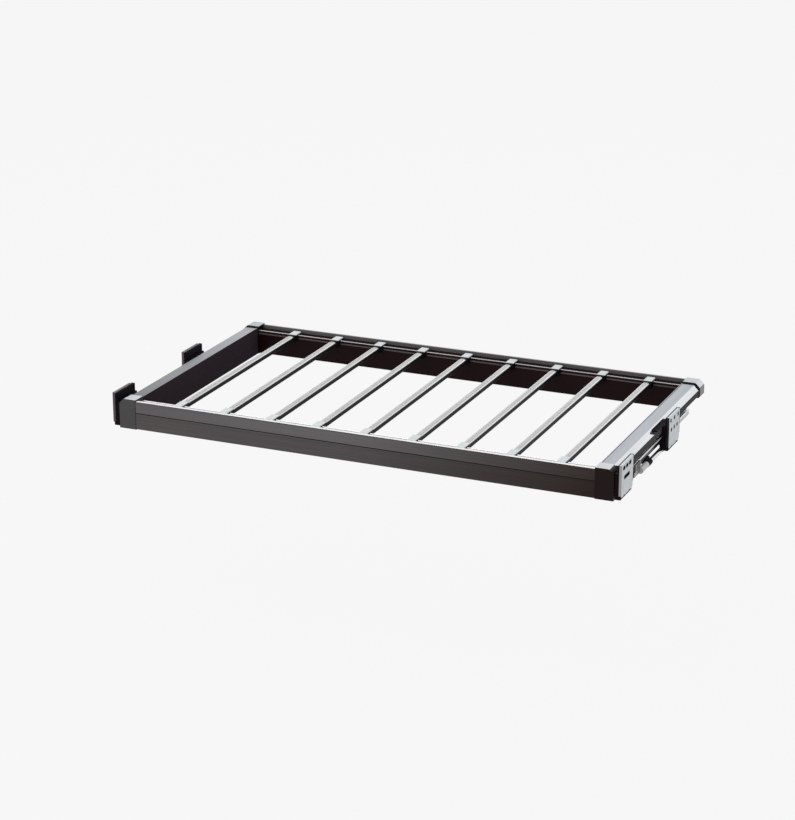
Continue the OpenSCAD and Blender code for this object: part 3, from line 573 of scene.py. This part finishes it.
# Painted shade around the plates' openings.
HOLE_SHADE = lin(58, 56, 60)
PLATE_GREY = lin(204, 209, 212)
SHADED_EDGE = lin(88, 79, 82)
SHADED_TOP = lin(130, 121, 122)
PLATE_EDGE = (0.3, 0.7)


def hole_shade_mask(m, mid, row, pitch, reach, radius):
    """One over the metal close to three holes or slots in a row, at mid and a pitch to each side: painted
    shade around the openings.
    """
    dy = m.absolute(m.math("SUBTRACT", m.place("Y"), mid))
    near = m.math("MINIMUM", dy, m.absolute(m.math("SUBTRACT", dy, pitch)))
    near = m.math("MAXIMUM", m.math("SUBTRACT", near, reach), 0.0)
    dz = m.math("SUBTRACT", m.place("Z"), row)
    away = m.math("SQRT", m.math("ADD", m.math("MULTIPLY", near, near), m.math("MULTIPLY", dz, dz)))
    return m.fall(away, radius + 0.6 * MM, radius + 1.0 * MM)


def zinc(name, color, rough=(0.28, 0.45), along="y", edge=None, top=None, holes=()):
    m = Mat(name, metallic=0.9)
    streak = m.noise((900, 12, 900) if along == "y" else (900, 900, 12), detail=2.0)
    cloud = m.noise(45, detail=5.0, rough=0.6)
    crystal = m.node("ShaderNodeTexVoronoi", feature="F1")
    crystal.inputs["Scale"].default_value = 1.0
    m.link(m.scaled(420), crystal.inputs["Vector"])
    painted = m.cloudy(cloud, scaled_color(color, 0.86), scaled_color(color, 1.06))
    if edge:
        painted = m.mix(m.rise(m.absolute(m.normal("Y")), *PLATE_EDGE), painted, edge)
    if top:
        painted = m.mix(m.rise(m.normal("Z"), *PLATE_EDGE), painted, top)
    for hole in holes:
        # Painted shade around each opening.
        painted = m.mix(hole_shade_mask(m, *hole), painted, HOLE_SHADE)
    m.color(m.vary(painted, crystal.outputs["Distance"], 0.98, 1.02))
    m.rough(cloud, *rough)
    m.bump((streak, 0.10, 0.06 * MM), (cloud, 0.06, 0.4 * MM))
    return m


def plate(name, edge, holes, top=None):
    return zinc(name, PLATE_GREY, rough=(0.38, 0.55), along="z", edge=edge, top=top, holes=holes)


# Lit and shaded copies of one plate: the front edge is painted light on the front right plate and dark on
# the rear right plate, and the left plates have shaded edges and tops.
use(plate("plate_zinc", lin(158, 152, 154), FRONT_OPENINGS), "wall_plate_front_right")
use(plate("plate_rear_zinc", lin(52, 46, 49), REAR_OPENINGS), "wall_plate_rear_right")
use(plate("plate_shaded", SHADED_EDGE, FRONT_OPENINGS, SHADED_TOP), "wall_plate_front_left")
use(plate("plate_rear_shaded", SHADED_EDGE, REAR_OPENINGS, SHADED_TOP), "wall_plate_rear_left")
use(zinc("slide_zinc", lin(206, 208, 212)), "slide_middle", "slide_inner")
use(zinc("cage_zinc", lin(150, 152, 156)), "cage_")
use(zinc("rivet_steel", lin(170, 172, 176), rough=(0.25, 0.4)), "bracket_rivets")
use(zinc("screw_steel", lin(60, 60, 62), rough=(0.3, 0.45)), "rack_screws")


# Fixed slide members: a painted highlight on the rolled edge, and painted shade on the sides as far as the
# rear bracket

# Painted shade on the slide's sides and a painted highlight on the rolled edge.
SLIDE_SHADE = lin(40, 36, 38)
SLIDE_BRIGHT = lin(176, 179, 183)
ROLLED_HIGHLIGHT = lin(255, 255, 255)
ROLLED_LESS_METAL = 0.7


def slide_outer_material():
    m = Mat("slide_rolled", specular=0.1)
    streak, cloud = satin(m, "y")
    # Painted highlight along the rolled edge, and painted shade on the sides up to the rear bracket,
    # lighter beyond it.
    rolled = m.rise(m.place("Z"), SLIDE_ROLL_Z - 0.2 * MM, SLIDE_ROLL_Z + 0.2 * MM)
    free = m.rise(m.place("Y"), REAR_PLATE_HIGH.y - 10.8 * MM, REAR_PLATE_HIGH.y + 2.2 * MM)
    light = m.math("MAXIMUM", rolled, free)
    m.metal(m.math("SUBTRACT", light, m.math("MULTIPLY", rolled, ROLLED_LESS_METAL)), high=0.95)
    color = m.mix(free, SLIDE_SHADE, SLIDE_BRIGHT)
    color = m.mix(rolled, color, ROLLED_HIGHLIGHT)
    color = m.vary(color, streak, 0.93, 1.06)
    m.color(m.vary(color, cloud, 0.95, 1.05))
    m.rough(streak, 0.18, 0.28)
    return m


use(slide_outer_material(), "slide_outer")


# Dampers: chromed cylinders with painted reflection bands, black carriers and clamps, housings with a dark
# latch

# Painted reflection on the cylinders: dark bands above and below a white band.
CHROME_REFLECTION_TONES = ((0.0, lin(84, 80, 82)), (0.40, lin(96, 92, 94)), (0.56, lin(255, 255, 255)),
                (0.84, lin(255, 255, 255)), (0.93, lin(120, 106, 108)), (1.0, lin(96, 82, 85)))
CHROME_DIM = lin(222, 224, 228)
CHROME_CLEAR = lin(240, 241, 244)
CARRIER_BLACK = lin(26, 20, 24)
SLEEVE_PALE = lin(214, 216, 219)
CHEEK_GREY = lin(112, 113, 116)
LATCH_DARK = lin(34, 32, 34)
LATCH_RIB = lin(168, 169, 172)


def chrome():
    m = Mat("cylinder_chrome", metallic=1.0)
    streak = m.noise((1200, 10, 1200), detail=2.0)
    color = m.cloudy(m.noise((60, 20, 60)), CHROME_DIM, CHROME_CLEAR)
    # Painted reflection by the direction the surface faces.
    shade = m.ramp(m.rise(m.normal("Z"), -1.0, 1.0), CHROME_REFLECTION_TONES)
    m.color(m.mix(1.0, color, shade, "MULTIPLY"))
    m.rough(streak, 0.07, 0.14)
    m.bump((streak, 0.04, 0.03 * MM))
    return m


use(chrome(), "damper_cylinders")


def moulded(name, specular):
    """A plastic with the grain and clouding of a moulding; returns the material and the clouding."""
    m = Mat(name, specular=specular)
    grain = m.noise(1100)
    cloud = m.noise(30, detail=4.0)
    m.bump((grain, 0.25, 0.08 * MM), (cloud, 0.05, 0.6 * MM))
    return m, cloud


def carrier_material():
    m, cloud = moulded("carrier_plastic", specular=0.02)
    m.color(m.cloudy(cloud, scaled_color(CARRIER_BLACK, 0.9), scaled_color(CARRIER_BLACK, 1.12)))
    m.rough(cloud, 0.38, 0.52)
    return m


use(carrier_material(), "carrier_", "damper_cradles")


def housing_material():
    """Pale sleeve, grey cheek, and a dark latch with light ribs."""
    m, cloud = moulded("housing_plastic", specular=0.3)
    latch = m.fall(m.place("Y"), LATCH_END - 0.4 * MM, LATCH_END + 0.4 * MM)
    rib = m.rise(m.absolute(m.place("X")), LATCH_RIBS_X - 0.2 * MM, LATCH_RIBS_X + 0.2 * MM)
    cheek = m.rise(m.place("Z"), CHEEK_Z - 0.3 * MM, CHEEK_Z + 0.3 * MM)
    dark = m.mix(cheek, m.mix(rib, LATCH_DARK, LATCH_RIB), CHEEK_GREY)
    color = m.mix(latch, SLEEVE_PALE, dark)
    m.color(m.vary(color, cloud, 0.94, 1.05))
    m.rough(cloud, 0.26, 0.38)
    return m


use(housing_material(), "damper_housings")


# Small roundings of the edges that catch the light

soften(0.4 * MM, "cap_", "side_rail")
soften(0.35 * MM, "bar_clips")
soften(0.3 * MM, "wall_plate", "carrier_", "damper_housings", "damper_cradles")


# Pale floor below the hanging rack, pale world and soft lamps

FLOOR_Z = -0.30
FLOOR_REACH = 40.0
FLOOR_CORNERS = ((-1, -1), (1, -1), (1, 1), (-1, 1))
FLOOR_LIT = grey(0.86)
FLOOR_GLOW = grey(0.945)
FLOOR_GLOW_SHARE = 0.94
WORLD_LIGHT = grey(1.0)
WORLD_LIGHT_STRENGTH = 0.6
WORLD_SEEN = grey(0.93)

floor_skin = bpy.data.materials.new("floor_pale")
floor_tree = Tree(floor_skin, "ShaderNodeOutputMaterial")
floor_tree.show(lighting=floor_tree.shader("ShaderNodeBsdfDiffuse", FLOOR_LIT),
                seen=floor_tree.shader("ShaderNodeEmission", FLOOR_GLOW), share=FLOOR_GLOW_SHARE)

floor_mesh = bpy.data.meshes.new("floor")
floor_places = [(x * FLOOR_REACH, y * FLOOR_REACH, FLOOR_Z) for x, y in FLOOR_CORNERS]
floor_mesh.from_pydata(floor_places, [], [(0, 1, 2, 3)])
floor = bpy.data.objects.new("floor", floor_mesh)
floor.data.materials.append(floor_skin)
scene.collection.objects.link(floor)

scene.world = bpy.data.worlds.new("studio")
world_tree = Tree(scene.world, "ShaderNodeOutputWorld")
world_light = world_tree.shader("ShaderNodeBackground", WORLD_LIGHT)
world_light.inputs["Strength"].default_value = WORLD_LIGHT_STRENGTH
world_tree.show(lighting=world_light, seen=world_tree.shader("ShaderNodeBackground", WORLD_SEEN))


def lamp(name, place, aim, size, watts):
    data = bpy.data.lights.new(name, "AREA")
    data.shape = "RECTANGLE"
    data.size, data.size_y = size
    data.energy = watts
    obj = bpy.data.objects.new(name, data)
    obj.location = place
    obj.rotation_euler = (Vector(aim) - Vector(place)).to_track_quat("-Z", "Y").to_euler()
    scene.collection.objects.link(obj)


lamp("key", place=(-1.2, -0.6, 2.6), aim=(0, 0, 0), size=(2.2, 2.2), watts=20)
lamp("back", place=(0.6, 2.4, 1.9), aim=(0, 0, 0), size=(2.6, 1.4), watts=6)
lamp("front_left", place=(-2.4, -2.2, 0.7), aim=(-0.2, -0.2, 0), size=(1.4, 1.0), watts=8)
